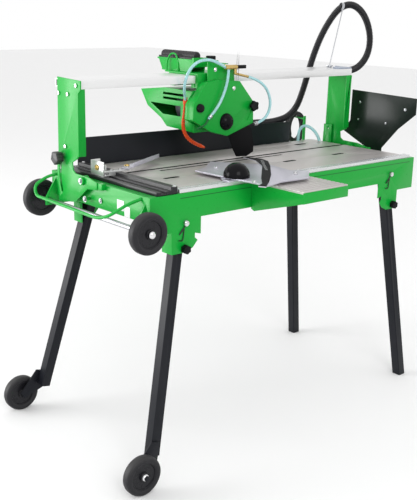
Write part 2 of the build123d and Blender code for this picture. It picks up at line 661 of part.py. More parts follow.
LEAD_OUT = [(1060, 558, -40), (1060, 590, -40), (1084, 604, -66), (1122, 602, -70)]
LEAD_OUT += [(1156, 596, -48), (1178, 590, -12)]
LEAD_END = [(1240, 590, -14), (1244, 591, -44), (1244, 591, -76)]
with BuildPart() as mains_lead:
    tube(LEAD_OUT, 4.5)
    tube(LEAD_END, 4.5)
save(mains_lead, "mains_lead")

with BuildPart() as mains_coil:
    with BuildSketch(front(604)) as hank:
        with Locations((1215, 48)):
            Ellipse(54, 70)
            Ellipse(34, 50, mode=Mode.SUBTRACT)
    extrude(hank.sketch, amount=28, dir=(0, -1, 0))
    fillet(mains_coil.edges(), 8)
save(mains_coil, "mains_coil")

with BuildPart() as mains_plug:
    rod((1244, 591, -76), (1244, 591, -118), 19)
    rod((1238, 591, -117), (1238, 591, -136), 2.4)
    rod((1250, 591, -117), (1250, 591, -136), 2.4)
save(mains_plug, "mains_plug")
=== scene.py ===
import math

import bmesh
import bpy
from mathutils import Matrix, Vector


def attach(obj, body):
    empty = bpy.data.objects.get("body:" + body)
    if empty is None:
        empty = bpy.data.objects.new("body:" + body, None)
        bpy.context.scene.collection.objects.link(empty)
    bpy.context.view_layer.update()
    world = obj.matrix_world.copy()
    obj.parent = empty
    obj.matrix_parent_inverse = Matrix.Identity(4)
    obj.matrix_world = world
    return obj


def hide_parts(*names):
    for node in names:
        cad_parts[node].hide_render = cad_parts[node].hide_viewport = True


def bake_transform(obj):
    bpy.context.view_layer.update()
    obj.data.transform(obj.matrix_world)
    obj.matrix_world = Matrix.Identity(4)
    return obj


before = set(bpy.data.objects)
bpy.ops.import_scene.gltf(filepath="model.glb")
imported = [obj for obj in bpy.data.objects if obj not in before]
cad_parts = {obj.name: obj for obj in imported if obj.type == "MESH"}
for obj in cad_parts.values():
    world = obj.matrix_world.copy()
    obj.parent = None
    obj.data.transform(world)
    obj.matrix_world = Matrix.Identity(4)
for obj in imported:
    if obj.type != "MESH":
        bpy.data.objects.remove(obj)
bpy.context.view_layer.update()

# The spot that the saw is looked at from: a standing person's eye, in front of its left
# end and a little above the table. Places on the saw are given in millimetres from the
# left end, front face and top edge of its frame.


def bench(x, y, z):
    """Point of the saw in metres, from millimetres measured on its frame."""
    return Vector(((x - 649.32) / 1000, (y - 217.75) / 1000, (z + 875) / 1000))


yaw, pitch, roll = math.radians(48.92), math.radians(15.87), math.radians(1.23)
ahead = Vector((math.cos(yaw) * math.cos(pitch), math.sin(yaw) * math.cos(pitch), -math.sin(pitch)))
level = Vector((math.sin(yaw), -math.cos(yaw), 0))
upward = level.cross(ahead)
right = level * math.cos(roll) + upward * math.sin(roll)
over = upward * math.cos(roll) - level * math.sin(roll)
lens = bpy.data.cameras.new("eye")
lens.lens = 61.88
lens.sensor_width = 36
lens.clip_start = 0.05
eye = bpy.data.objects.new("eye", lens)
eye.matrix_world = Matrix((right, over, -ahead)).transposed().to_4x4()
eye.location = bench(-1455, -1930, 536)
bpy.context.collection.objects.link(eye)
bpy.context.scene.camera = eye

# Mains lead: a round rubber cable of about two metres. It leaves the gland on the frame's
# back, most of it hangs wound on a hook in six loose turns under a strap, and its end
# drops to the plug.


def handled(name, colour, shade, rough, spread=0.12, mottle=0.5, scale=60.0, stretch=(1, 1, 1),
            dust=0.1, relief=0.3, metal=0.0, gloss=0.25, dull=(0.32, 0.31, 0.29)):
    """Finish of one piece: its colour and gloss, varied by grain, handling and settled dust."""
    finish = bpy.data.materials.new(name)
    finish.use_nodes = True
    nodes, links = finish.node_tree.nodes, finish.node_tree.links
    skin = nodes["Principled BSDF"]
    skin.inputs["Metallic"].default_value = metal
    skin.inputs["Specular IOR Level"].default_value = gloss
    grain = nodes.new("ShaderNodeGroup")
    grain.node_tree = bpy.data.node_groups["grain and dust"]
    grain.name = "grain"
    for label, value in (("Colour", (*colour, 1)), ("Shade", (*shade, 1)), ("Dust Colour", (*dull, 1)),
                         ("Mottle", mottle), ("Scale", scale), ("Stretch", stretch), ("Dust", dust),
                         ("Roughness", rough), ("Spread", spread)):
        grain.inputs[label].default_value = value
    relief_node = nodes.new("ShaderNodeBump")
    relief_node.inputs["Strength"].default_value = relief
    relief_node.inputs["Distance"].default_value = 0.0006
    links.new(grain.outputs["Colour"], skin.inputs["Base Color"])
    links.new(grain.outputs["Roughness"], skin.inputs["Roughness"])
    links.new(grain.outputs["Height"], relief_node.inputs["Height"])
    links.new(relief_node.outputs["Normal"], skin.inputs["Normal"])
    return finish


grain_sockets = (("Colour", "Color"), ("Shade", "Color"), ("Dust Colour", "Color"), ("Mottle", "Float"),
                 ("Scale", "Float"), ("Stretch", "Vector"), ("Dust", "Float"), ("Roughness", "Float"),
                 ("Spread", "Float"))
grain_group = bpy.data.node_groups.new("grain and dust", "ShaderNodeTree")
for label, kind in grain_sockets:
    grain_group.interface.new_socket(label, in_out="INPUT", socket_type="NodeSocket" + kind)
for label, kind in (("Colour", "Color"), ("Roughness", "Float"), ("Height", "Float")):
    grain_group.interface.new_socket(label, in_out="OUTPUT", socket_type="NodeSocket" + kind)


def joined(tree, kind, settings, *feeds):
    """Adds one node to a tree, sets it, and wires outputs into its inputs."""
    node = tree.nodes.new(kind)
    for key, value in settings.items():
        setattr(node, key, value)
    for socket, feed in feeds:
        if hasattr(feed, "is_output"):
            tree.links.new(feed, node.inputs[socket])
        else:
            node.inputs[socket].default_value = feed
    return node


def maths(tree, operation, *feeds, clamp=False):
    """Adds one step of arithmetic to a tree."""
    return joined(tree, "ShaderNodeMath", {"operation": operation, "use_clamp": clamp}, *feeds)


given = grain_group.nodes.new("NodeGroupInput").outputs
place = grain_group.nodes.new("ShaderNodeTexCoord").outputs["Object"]
drawn_out = joined(grain_group, "ShaderNodeVectorMath", {"operation": "MULTIPLY"}, (0, place),
                   (1, given["Stretch"]))
fine = joined(grain_group, "ShaderNodeTexNoise", {}, ("Vector", drawn_out.outputs[0]),
              ("Scale", given["Scale"]), ("Detail", 5.0))
broad = joined(grain_group, "ShaderNodeTexNoise", {}, ("Vector", place), ("Scale", 7.0), ("Detail", 3.0))
facing = grain_group.nodes.new("ShaderNodeNewGeometry").outputs["Normal"]
tilt = grain_group.nodes.new("ShaderNodeSeparateXYZ")
grain_group.links.new(facing, tilt.inputs[0])
settled = maths(grain_group, "MULTIPLY", (0, tilt.outputs["Z"]), (1, broad.outputs["Fac"]), clamp=True)
dusty = maths(grain_group, "MULTIPLY", (0, settled.outputs[0]), (1, given["Dust"]), clamp=True)
patch = maths(grain_group, "MULTIPLY", (0, fine.outputs["Fac"]), (1, given["Mottle"]), clamp=True)
toned = joined(grain_group, "ShaderNodeMix", {"data_type": "RGBA"}, (0, patch.outputs[0]),
               (6, given["Colour"]), (7, given["Shade"]))
greyed = joined(grain_group, "ShaderNodeMix", {"data_type": "RGBA"}, (0, dusty.outputs[0]),
                (6, toned.outputs[2]), (7, given["Dust Colour"]))
swing = maths(grain_group, "SUBTRACT", (0, fine.outputs["Fac"]), (1, 0.5))
varied = maths(grain_group, "MULTIPLY_ADD", (0, swing.outputs[0]), (1, given["Spread"]),
               (2, given["Roughness"]))
duller = maths(grain_group, "MULTIPLY_ADD", (0, dusty.outputs[0]), (1, 0.4), (2, varied.outputs[0]),
               clamp=True)
put_out = grain_group.nodes.new("NodeGroupOutput").inputs
grain_group.links.new(greyed.outputs[2], put_out["Colour"])
grain_group.links.new(duller.outputs[0], put_out["Roughness"])
grain_group.links.new(fine.outputs["Fac"], put_out["Height"])


def mount(piece, body, slot, *nodes, finish=None):
    """Fixes a finished piece to the part of the saw that it moves with."""
    if finish:
        piece.data.materials.clear()
        piece.data.materials.append(finish)
    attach(piece, body)
    if nodes:
        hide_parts(*nodes)
    return piece


def run_of(name, points, thickness, smoothness=8):
    """Round hose, cable or wire whose course bends smoothly along bench points."""
    data = bpy.data.curves.new(name, "CURVE")
    data.dimensions = "3D"
    data.resolution_u = smoothness
    data.bevel_depth = thickness / 2000
    data.bevel_resolution = 5
    data.use_fill_caps = True
    course = data.splines.new("NURBS")
    course.points.add(len(points) - 1)
    for knot, point in zip(course.points, points):
        knot.co = (*bench(*point), 1)
    course.order_u = 3
    course.use_endpoint_u = True
    piece = bpy.data.objects.new(name, data)
    bpy.context.collection.objects.link(piece)
    return piece


def turned(name, outline, centre, axis, closed=False, steps=40):
    """Piece made on a lathe: (radius, height) pairs in millimetres spun round an axis at a bench point."""
    mesh = bmesh.new()
    stand = Vector(axis).to_track_quat("Z", "Y").to_matrix().to_4x4()
    stand.translation = bench(*centre)
    rings = []
    for radius, height in outline:
        spots = range(steps) if radius > 1e-6 else range(1)
        rings.append([mesh.verts.new(stand @ Vector((radius * math.cos(i * math.tau / steps) / 1000,
                                                     radius * math.sin(i * math.tau / steps) / 1000,
                                                     height / 1000))) for i in spots])
    pairs = list(zip(rings, rings[1:])) + ([(rings[-1], rings[0])] if closed else [])
    for low, high in pairs:
        for i in range(steps):
            corners = [low[i % len(low)], low[(i + 1) % len(low)], high[(i + 1) % len(high)],
                       high[i % len(high)]]
            corners = [c for n, c in enumerate(corners) if c not in corners[:n]]
            if len(corners) > 2:
                mesh.faces.new(corners)
    bmesh.ops.recalc_face_normals(mesh, faces=mesh.faces)
    return object_from(mesh, name, 38)


def object_from(mesh, name, crease):
    """Turns edited mesh into an object, smooth except where it folds by more than the crease angle."""
    for face in mesh.faces:
        face.smooth = True
    for edge in mesh.edges:
        if len(edge.link_faces) == 2 and edge.calc_face_angle(0) > math.radians(crease):
            edge.smooth = False
    data = bpy.data.meshes.new(name)
    mesh.to_mesh(data)
    mesh.free()
    piece = bpy.data.objects.new(name, data)
    bpy.context.collection.objects.link(piece)
    return piece


def eased(node, name, width=0.7, crease=35, steps=2):
    """Copy of a part of the saw with its sharp edges eased by a small round, in millimetres."""
    mesh = bmesh.new()
    mesh.from_mesh(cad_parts[node].data)
    bmesh.ops.remove_doubles(mesh, verts=mesh.verts, dist=2e-6)
    bmesh.ops.dissolve_limit(mesh, angle_limit=math.radians(0.5), verts=mesh.verts, edges=mesh.edges)
    sharp = [e for e in mesh.edges if len(e.link_faces) == 2 and e.calc_face_angle(0) > math.radians(crease)]
    rounded = set()
    if width:
        made = bmesh.ops.bevel(mesh, geom=sharp, offset=width / 1000, segments=steps, profile=0.5,
                               affect="EDGES", clamp_overlap=False)
        rounded = set(made["faces"])
    edge_mark = mesh.faces.layers.float.new("eased_edge")
    for face in mesh.faces:
        face[edge_mark] = 1.0 if face in rounded else 0.0
    seams = [e for e in mesh.edges if len({f in rounded for f in e.link_faces}) == 2]
    for face in mesh.faces:
        face.smooth = True
    for edge in mesh.edges:
        if len(edge.link_faces) == 2 and edge.calc_face_angle(0) > math.radians(crease):
            edge.smooth = False
    for edge in seams:
        edge.smooth = False
    data = bpy.data.meshes.new(name)
    mesh.to_mesh(data)
    mesh.free()
    piece = bpy.data.objects.new(name, data)
    bpy.context.collection.objects.link(piece)
    return piece


def dressed(node, name, width, body, slot, finish, steps=2):
    """Eased copy of a part of the saw, in its finish, fixed to the part that it moves with."""
    return mount(eased(node, name, width, steps=steps), body, slot, node, finish=finish)


cable_rubber = handled("cable rubber", (0.012, 0.012, 0.013), (0.03, 0.03, 0.032), 0.42, dust=0.25)
plug_rubber = handled("plug rubber", (0.014, 0.014, 0.015), (0.035, 0.035, 0.037), 0.5, dust=0.2)
wound = []
for step in range(81):
    swept = math.radians(214 - step * 25.9)
    layer, row = (step // 14) % 2, (step // 14) // 2
    drift = 1.3 * math.sin(step * 1.7)
    wide, tall = 40 + 8.6 * layer + drift, 55.5 + 8.8 * layer - drift
    across = 581 + 9.4 * row + 1.5 * math.sin(step * 0.45)
    wound.append((1215 + wide * math.cos(swept), across, 48 + tall * math.sin(swept)))
lead_route = [(1060, 558, -40), (1060, 590, -40), (1084, 604, -66), (1122, 602, -70), (1156, 596, -48)]
lead_route += [(1174, 588, -12)] + wound + [(1240, 591, -14), (1244, 591, -44), (1244, 591, -76)]
mains_lead = mount(run_of("mains_lead_cable", lead_route, 9, 5), "bench", "rubber", "mains_lead",
                   "mains_coil", finish=cable_rubber)
mains_plug = dressed("mains_plug", "mains_plug_body", 2, "bench", "black_plastic", plug_rubber)
sleeve_outline = [(0, 0), (8, 0), (8, 3)]
for rib in range(6):
    sleeve_outline += [(7.6 - rib * 0.4, 4 + rib * 4), (7.6 - rib * 0.4, 6.4 + rib * 4),
                       (6.3 - rib * 0.3, 6.8 + rib * 4), (6.3 - rib * 0.3, 7.6 + rib * 4)]
sleeve_outline += [(4.8, 29), (0, 29)]
lead_sleeve = mount(turned("mains_lead_sleeve", sleeve_outline, (1060, 557.6, -40), (0, 1, 0)), "bench",
                    "rubber", finish=plug_rubber)
dressed("mains_gland", "mains_gland_nut", 1, "bench", "black_plastic", plug_rubber)

# Corrugated conduit: black moulded hose that carries the head's cable and water from the
# back of the tray to the beam's right end. Its rings come from one tree that swells and
# narrows a tube along the course.


def build_tree(name, sockets):
    """Empty tree of geometry steps with named inputs for its sizes."""
    tree = bpy.data.node_groups.new(name, "GeometryNodeTree")
    tree.interface.new_socket("Geometry", in_out="INPUT", socket_type="NodeSocketGeometry")
    for label, kind in sockets:
        tree.interface.new_socket(label, in_out="INPUT", socket_type="NodeSocket" + kind)
    tree.interface.new_socket("Geometry", in_out="OUTPUT", socket_type="NodeSocketGeometry")
    return tree, tree.nodes.new("NodeGroupInput").outputs


def close_tree(tree, shape, finish):
    """Ends a tree: copies become real mesh, and the finish is set."""
    real = joined(tree, "GeometryNodeRealizeInstances", {}, ("Geometry", shape))
    painted = joined(tree, "GeometryNodeSetMaterial", {}, ("Geometry", real.outputs[0]), ("Material", finish))
    end = tree.nodes.new("NodeGroupOutput")
    tree.links.new(painted.outputs[0], end.inputs[0])


def grown(tree, name, base, sizes):
    """Runs a tree on a base mesh with these sizes and keeps the result as a plain mesh."""
    stock = bpy.data.objects.new(name + "_stock", base)
    bpy.context.collection.objects.link(stock)
    step = stock.modifiers.new("grow", "NODES")
    step.node_group = tree
    for socket in tree.interface.items_tree:
        if socket.in_out == "INPUT" and socket.name in sizes:
            step[socket.identifier] = sizes[socket.name]
    graph = bpy.context.evaluated_depsgraph_get()
    data = bpy.data.meshes.new_from_object(stock.evaluated_get(graph))
    bpy.data.objects.remove(stock)
    piece = bpy.data.objects.new(name, data)
    bpy.context.collection.objects.link(piece)
    return piece


def course_of(points, smoothness=8):
    """Line mesh of a smooth course and the places that it passes."""
    line = run_of("course", points, 0, smoothness)
    line.data.bevel_depth = 0
    line.data.use_fill_caps = False
    graph = bpy.context.evaluated_depsgraph_get()
    data = bpy.data.meshes.new_from_object(line.evaluated_get(graph))
    bpy.data.objects.remove(line)
    return data, [tuple(v.co) for v in data.vertices]


conduit_plastic = handled("conduit plastic", (0.006, 0.006, 0.008), (0.02, 0.02, 0.024), 0.34, dust=0.18,
                          relief=0.15)
rings_tree, asked = build_tree("corrugated tube", (("Radius", "Float"), ("Depth", "Float"),
        ("Pitch", "Float"), ("Sides", "Int")))
as_line = joined(rings_tree, "GeometryNodeMeshToCurve", {}, (0, asked["Geometry"]))
quarter = maths(rings_tree, "DIVIDE", (0, asked["Pitch"]), (1, 6.0))
even = joined(rings_tree, "GeometryNodeResampleCurve", {"mode": "LENGTH"}, ("Curve", as_line.outputs[0]),
              ("Length", quarter.outputs[0]))
along = rings_tree.nodes.new("GeometryNodeSplineParameter").outputs["Length"]
turns = maths(rings_tree, "DIVIDE", (0, along), (1, asked["Pitch"]))
phase = maths(rings_tree, "MULTIPLY", (0, turns.outputs[0]), (1, math.tau))
wave = maths(rings_tree, "SINE", (0, phase.outputs[0]))
half_depth = maths(rings_tree, "MULTIPLY", (0, asked["Depth"]), (1, 0.5))
middle = maths(rings_tree, "SUBTRACT", (0, asked["Radius"]), (1, half_depth.outputs[0]))
swollen = maths(rings_tree, "MULTIPLY_ADD", (0, wave.outputs[0]), (1, half_depth.outputs[0]),
                (2, middle.outputs[0]))
round_section = joined(rings_tree, "GeometryNodeCurvePrimitiveCircle", {}, ("Resolution", asked["Sides"]),
                       ("Radius", 1.0))
tube_mesh = joined(rings_tree, "GeometryNodeCurveToMesh", {}, ("Curve", even.outputs[0]),
                   ("Profile Curve", round_section.outputs[0]),
                   ("Scale", swollen.outputs[0]), ("Fill Caps", True))
close_tree(rings_tree, tube_mesh.outputs[0], conduit_plastic)
conduit_route = [(1290.1, 404, 292), (1345, 404, 292), (1400, 403, 318), (1438, 405, 362), (1448, 408, 420)]
conduit_route += [(1430, 412, 480), (1390, 417, 530), (1335, 426, 556), (1284, 442, 540), (1256, 466, 490)]
conduit_route += [(1236, 492, 425), (1222, 514, 350), (1214, 532, 275), (1202, 546, 200), (1180, 554, 138)]
conduit_route += [(1136, 559, 100), (1078, 561, 88), (1016, 560, 84), (950, 562, 88), (884, 560, 84)]
conduit_route += [(830, 561, 80), (794, 561, 56), (784, 562, 20)]
conduit_line, conduit_path = course_of(conduit_route)
conduit = grown(rings_tree, "conduit_hose", conduit_line, {"Radius": 0.014, "Depth": 0.0024, "Pitch": 0.0058,
        "Sides": 20})
for face in conduit.data.polygons:
    face.use_smooth = True
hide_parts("conduit")
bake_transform(conduit)

# Water hoses: clear blue-tinted tubes pushed over fittings. One short hose feeds the
# conduit, two run from the valve to the jets beside and inside the guard, and the third
# loops round to the guard's right corner.
clear_vinyl = handled("clear vinyl", (0.42, 0.76, 0.8), (0.62, 0.88, 0.9), 0.16, scale=30, dust=0.05,
                      relief=0.1)
clear_vinyl.node_tree.nodes["Principled BSDF"].inputs["Transmission Weight"].default_value = 0.35
feed_route = [(1150, 509, -3), (1150, 510, 34), (1160, 506, 62), (1176, 490, 70), (1188, 460, 54),
              (1194, 438, 28), (1195, 432, 11)]
feed_hose = mount(run_of("inlet_feed_hose", feed_route, 12), "bench", "clear_hose", "inlet_hose",
                  finish=clear_vinyl)
left_route = [(540, 292, 335), (508, 288, 350), (464, 288, 364), (420, 296, 358), (394, 310, 328)]
left_route += [(388, 322, 290), (396, 336, 258), (414, 352, 240), (424, 362, 220)]
left_hose = mount(run_of("water_hose_left", left_route, 10), "head", "clear_hose", "water_hoses",
                  finish=clear_vinyl)
down_route = [(548, 283, 328), (545, 282, 292), (532, 284, 252), (512, 283, 216), (486, 288, 182),
              (470, 294, 164)]
down_hose = mount(run_of("water_hose_down", down_route, 10), "head", "clear_hose", finish=clear_vinyl)
right_route = [(648, 292, 300), (694, 291, 288), (740, 291, 258), (764, 291, 212), (758, 292, 168),
               (728, 293, 140), (692, 294, 132)]
right_hose = mount(run_of("water_hose_right", right_route, 10), "head", "clear_hose", finish=clear_vinyl)

# Jointed coolant hose: orange moulded beads that snap into one another and stay where
# they are bent, with a coupling at the top and a tapered nozzle at the tip. One tree
# threads the beads on the course.
bead_plastic = handled("orange moulding", (0.62, 0.06, 0.012), (0.78, 0.12, 0.02), 0.32, dust=0.08,
                       relief=0.12)
beads_tree, asked = build_tree("threaded beads", (("Radius", "Float"), ("Pitch", "Float"), ("Sides", "Int")))
as_line = joined(beads_tree, "GeometryNodeMeshToCurve", {}, (0, asked["Geometry"]))
spaced = joined(beads_tree, "GeometryNodeCurveToPoints", {"mode": "LENGTH"}, ("Curve", as_line.outputs[0]),
                ("Length", asked["Pitch"]))
neck = maths(beads_tree, "MULTIPLY", (0, asked["Radius"]), (1, 0.72))
longer = maths(beads_tree, "MULTIPLY", (0, asked["Pitch"]), (1, 0.98))
skirt = joined(beads_tree, "GeometryNodeMeshCone", {}, ("Vertices", asked["Sides"]), ("Side Segments", 3),
               ("Radius Top", neck.outputs[0]),
               ("Radius Bottom", asked["Radius"]), ("Depth", longer.outputs[0]))
strung = joined(beads_tree, "GeometryNodeInstanceOnPoints", {}, ("Points", spaced.outputs["Points"]),
                ("Instance", skirt.outputs[0]), ("Rotation", spaced.outputs["Rotation"]))
close_tree(beads_tree, strung.outputs[0], bead_plastic)
spray_route = [(424, 362, 219.8), (426, 366, 190), (421, 368, 156), (422, 370, 124), (440, 371, 94),
               (470, 370, 72), (500, 369, 60)]
spray_line, spray_path = course_of(spray_route)
spray_hose = mount(grown(beads_tree, "spray_hose_beads", spray_line,
                         {"Radius": 0.007, "Pitch": 0.0098, "Sides": 20}),
                   "head", "orange_plastic", "spray_hose")
nozzle = mount(turned("spray_nozzle", [(0, -4), (6.4, -4), (6.8, 2), (3.6, 20), (2.4, 20), (2.4, 12),
                                       (0, 12)], (500, 369, 60),
                      (30, -1, -12)), "head", "orange_plastic", finish=bead_plastic)
mount(turned("spray_coupling", [(0, 0), (8.5, 0), (8.5, 13), (7, 15), (7, 22), (5.4, 24), (0, 24)],
             (424, 361.6, 210),
                        (0, 0.03, 1), steps=8), "head", "orange_plastic", finish=bead_plastic)

# Frame: long sides, ends and their corner brackets, cut and folded from 3 mm steel sheet
# and powder coated green. The eased folds are painted lighter in chips, as wear and as a painted highlight,
# and a thin dark line of painted shadow runs along the front under the rail, where the fold lies in shade.
# Lighter colour painted in chipped patches on eased edges: partly wear, partly painted highlight along the
# edges.
wear_and_highlight_group = bpy.data.node_groups.new("edge wear and highlight", "ShaderNodeTree")
for label, kind in (("Colour", "Color"), ("Worn And Highlight Colour", "Color"), ("Edge", "Float"), ("Amount", "Float"),
                    ("Scale", "Float")):
    wear_and_highlight_group.interface.new_socket(label, in_out="INPUT", socket_type="NodeSocket" + kind)
for label, kind in (("Colour", "Color"), ("Worn And Highlit", "Float")):
    wear_and_highlight_group.interface.new_socket(label, in_out="OUTPUT", socket_type="NodeSocket" + kind)
given = wear_and_highlight_group.nodes.new("NodeGroupInput").outputs
place = wear_and_highlight_group.nodes.new("ShaderNodeTexCoord").outputs["Object"]
chips = joined(wear_and_highlight_group, "ShaderNodeTexNoise", {}, ("Vector", place), ("Scale", given["Scale"]),
               ("Detail", 6.0), ("Roughness", 0.7))
sharper = joined(wear_and_highlight_group, "ShaderNodeMapRange", {}, ("Value", chips.outputs["Fac"]), ("From Min", 0.46),
                 ("From Max", 0.66))
on_edge = maths(wear_and_highlight_group, "MULTIPLY", (0, sharper.outputs[0]), (1, given["Edge"]))
shown = maths(wear_and_highlight_group, "MULTIPLY", (0, on_edge.outputs[0]), (1, given["Amount"]), clamp=True)
mixed = joined(wear_and_highlight_group, "ShaderNodeMix", {"data_type": "RGBA"}, (0, shown.outputs[0]),
               (6, given["Colour"]), (7, given["Worn And Highlight Colour"]))
put_out = wear_and_highlight_group.nodes.new("NodeGroupOutput").inputs
wear_and_highlight_group.links.new(mixed.outputs[2], put_out["Colour"])
wear_and_highlight_group.links.new(shown.outputs[0], put_out["Worn And Highlit"])


def worn_and_highlit_edges(finish, worn_and_highlight_colour, amount, scale=90.0):
    """Paints the eased edges of a piece lighter in chipped patches: partly worn spots, partly a painted edge
    highlight.
    """
    tree = finish.node_tree
    skin, grain = tree.nodes["Principled BSDF"], tree.nodes["grain"]
    mark = joined(tree, "ShaderNodeAttribute", {"attribute_name": "eased_edge"})
    wear_and_highlight = joined(tree, "ShaderNodeGroup", {"node_tree": wear_and_highlight_group})
    tree.links.new(grain.outputs["Colour"], wear_and_highlight.inputs["Colour"])
    tree.links.new(mark.outputs["Fac"], wear_and_highlight.inputs["Edge"])
    wear_and_highlight.inputs["Worn And Highlight Colour"].default_value = (*worn_and_highlight_colour, 1)
    wear_and_highlight.inputs["Amount"].default_value = amount
    wear_and_highlight.inputs["Scale"].default_value = scale
    tree.links.new(wear_and_highlight.outputs["Colour"], skin.inputs["Base Color"])
    wear_and_highlight.name = "wear_and_highlight"
    return finish


def green_coat(name, painted_fold_shadow=False):
    """Glossy green powder coat; the long sides' own has a painted shadow line under the front rail."""
    finish = handled(name, (0.002, 0.3, 0.028), (0.004, 0.37, 0.042), 0.3, spread=0.14, mottle=0.6, scale=120,
                     dust=0.05, relief=0.12, gloss=0.25, dull=(0.15, 0.36, 0.2))
    # Eased edges painted a brighter green in chipped patches, as a painted highlight with a worn pattern.
    worn_and_highlit_edges(finish, (0.03, 0.62, 0.2), 0.7)
    if painted_fold_shadow:
        # Painted shadow: a thin near-black green line across the front face just under the rail, where the
        # fold lies in shade.
        tree = finish.node_tree
        spot = tree.nodes.new("ShaderNodeSeparateXYZ")
        tree.links.new(tree.nodes.new("ShaderNodeTexCoord").outputs["Object"], spot.inputs[0])
        off_line = maths(tree, "SUBTRACT", (0, spot.outputs["Z"]), (1, 0.8606))
        near = maths(tree, "ABSOLUTE", (0, off_line.outputs[0]))
        thin = maths(tree, "LESS_THAN", (0, near.outputs[0]), (1, 0.0011))
        forward = maths(tree, "LESS_THAN", (0, spot.outputs["Y"]), (1, -0.2165))
        from_left = maths(tree, "GREATER_THAN", (0, spot.outputs["X"]), (1, -0.537))
        to_right = maths(tree, "LESS_THAN", (0, spot.outputs["X"]), (1, 0.576))
        both = maths(tree, "MULTIPLY", (0, thin.outputs[0]), (1, forward.outputs[0]))
        ends = maths(tree, "MULTIPLY", (0, from_left.outputs[0]), (1, to_right.outputs[0]))
        line = maths(tree, "MULTIPLY", (0, both.outputs[0]), (1, ends.outputs[0]))
        painted_shadow_line = joined(tree, "ShaderNodeMix", {"data_type": "RGBA"}, (0, line.outputs[0]),
                      (6, tree.nodes["wear_and_highlight"].outputs["Colour"]), (7, (0.001, 0.06, 0.012, 1)))
        tree.links.new(painted_shadow_line.outputs[2], tree.nodes["Principled BSDF"].inputs["Base Color"])
    return finish


# The long sides get the coat with the painted shadow line.
side_coat_with_painted_shadow = green_coat("green coat, sides, with painted shadow line", painted_fold_shadow=True)
coat = green_coat("green coat")
dressed("frame_sides", "frame_sides_sheet", 0.6, "bench", "green_paint", side_coat_with_painted_shadow)
dressed("frame_ends", "frame_ends_sheet", 0.6, "bench", "green_paint", coat)
dressed("clamp_ears", "tilt_ears", 0.6, "bench", "green_paint", coat)
dressed("tow_handle", "tow_rod", 0, "bench", "green_paint", coat)

# Blank rating plates riveted on the left end: thin white enamelled sheet.
plate_enamel = handled("white enamel", (0.78, 0.8, 0.8), (0.66, 0.68, 0.7), 0.35, mottle=0.3, dust=0.1)


def slab(name, corners, plane_at, thickness, finish, width=0.4):
    """Flat plate: bench outline corners pushed along a direction by its thickness in millimetres."""
    mesh = bmesh.new()
    foot = [mesh.verts.new(bench(*c)) for c in corners]
    base = mesh.faces.new(foot)
    pushed = bmesh.ops.extrude_face_region(mesh, geom=[base])
    lifted = [v for v in pushed["geom"] if isinstance(v, bmesh.types.BMVert)]
    bmesh.ops.translate(mesh, verts=lifted, vec=Vector(plane_at) * thickness / 1000)
    bmesh.ops.recalc_face_normals(mesh, faces=mesh.faces)
    if width:
        bmesh.ops.bevel(mesh, geom=mesh.edges[:], offset=width / 1000, segments=2, profile=0.5,
                        affect="EDGES", clamp_overlap=False)
    piece = object_from(mesh, name, 50)
    piece.data.materials.append(finish)
    return piece


for name, low, high in (("rating_plate_large", (128, -62), (163, -31)),
                        ("rating_plate_small", (97, -77), (125, -45))):
    outline = [(0, low[0], low[1]), (0, high[0], low[1]), (0, high[0], high[1]), (0, low[0], high[1])]
    mount(slab(name, outline, (-1, 0, 0), 1, plate_enamel, 0.2), "bench", "steel")

# Tray: deep black basin that catches the water, with a tall splash wall behind the table.
tray_black = handled("tray black", (0.003, 0.004, 0.008), (0.007, 0.009, 0.014), 0.4, mottle=0.4, scale=20,
                     dust=0.12, relief=0.1, dull=(0.12, 0.12, 0.12))
dressed("water_tray", "water_tray_pan", 0.5, "bench", "black_paint", tray_black)

# Table: two extruded aluminium plates with a streaked face, either side of the
# slot that a disc runs in, with oval finger holes cut through and a long shallow channel.
mill_aluminium = handled("mill aluminium", (0.5, 0.47, 0.46), (0.66, 0.63, 0.62), 0.38, spread=0.2,
                         mottle=0.9, scale=26,
                         stretch=(0.25, 9, 9), dust=0.3, metal=0.55, relief=0.18, dull=(0.46, 0.43, 0.41))
# Near-black painted shade for the sunken faces of the holes and channel and for the walls of the gap between
# the plates.
painted_slot_shade = handled("painted slot shade", (0.006, 0.012, 0.009), (0.012, 0.022, 0.016), 0.8, dust=0.02, gloss=0.05)
plates = dressed("table_plates", "table_plates_extruded", 0.4, "bench", "aluminium", mill_aluminium)
plates.data.materials.append(painted_slot_shade)
# Faces below the table's top inside the holed area, and the side walls of the gap between the plates, get the
# painted shade.
slot_left, slot_right = bench(125, 40, 7.4), bench(1205, 492, 7.4)
for face in plates.data.polygons:
    spot = face.center
    inside = slot_left.x < spot.x < slot_right.x and slot_left.y < spot.y < slot_right.y
    gap = bench(0, 310, 0).y < spot.y < bench(0, 340, 0).y
    if (inside and spot.z < slot_left.z and face.normal.z > -0.5) or (gap and abs(face.normal.y) > 0.5):
        face.material_index = 1

# Front rail: bright extruded aluminium with a T groove that the guide and extension hold.
bright_aluminium = handled("bright aluminium", (0.62, 0.63, 0.64), (0.8, 0.81, 0.82), 0.26, spread=0.15,
                           scale=30, stretch=(0.2, 8, 8), dust=0.08, metal=0.7, relief=0.12)
dressed("front_rail", "front_rail_extrusion", 0.5, "bench", "aluminium", bright_aluminium)

# Side rail: black anodised extrusion across the left end, with its own groove.
black_anodised = handled("black anodised", (0.01, 0.01, 0.012), (0.03, 0.03, 0.034), 0.32, scale=30,
                         stretch=(8, 0.2, 8), dust=0.15, relief=0.12)
dressed("side_rail", "side_rail_extrusion", 0.8, "bench", "black_paint", black_anodised)

